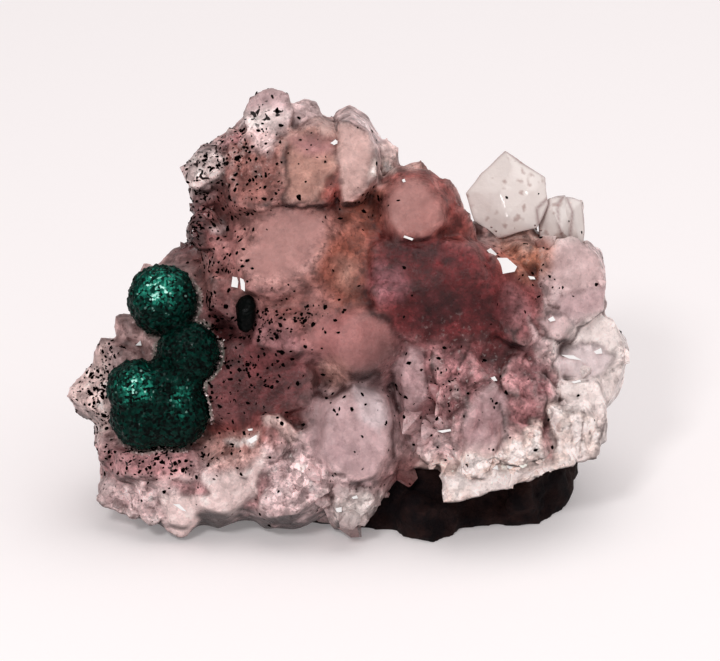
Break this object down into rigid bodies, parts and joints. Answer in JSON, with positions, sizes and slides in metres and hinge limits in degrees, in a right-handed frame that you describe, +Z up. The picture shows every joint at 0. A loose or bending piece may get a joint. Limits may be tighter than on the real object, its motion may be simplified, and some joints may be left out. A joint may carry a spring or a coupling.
{
  "type": "mineral specimen",
  "caption": "Hand specimen of botryoidal malachite on a druzy crust of pinkish quartz crystals, with its dark host rock underneath.",
  "frame": {"origin": "centre of the specimen's bounding box at its base, on the flat face of the host rock", "axes": "+Z up from the base; +X along the longest side, to the right of the show face; -Y out of the show face, towards a viewer"},
  "size_m": [0.0458, 0.0234, 0.0337],
  "materials": {
    "quartz": "translucent crystal faces",
    "host_rock": "rough broken stone",
    "malachite": "velvety, finely crystalline",
    "dark_malachite": "smooth, almost black green"
  },
  "bodies": {
    "root": {"quartz_druse": "quartz", "matrix_rock": "host_rock", "malachite_cluster": "malachite", "malachite_bead": "dark_malachite"}
  },
  "joints": []
}
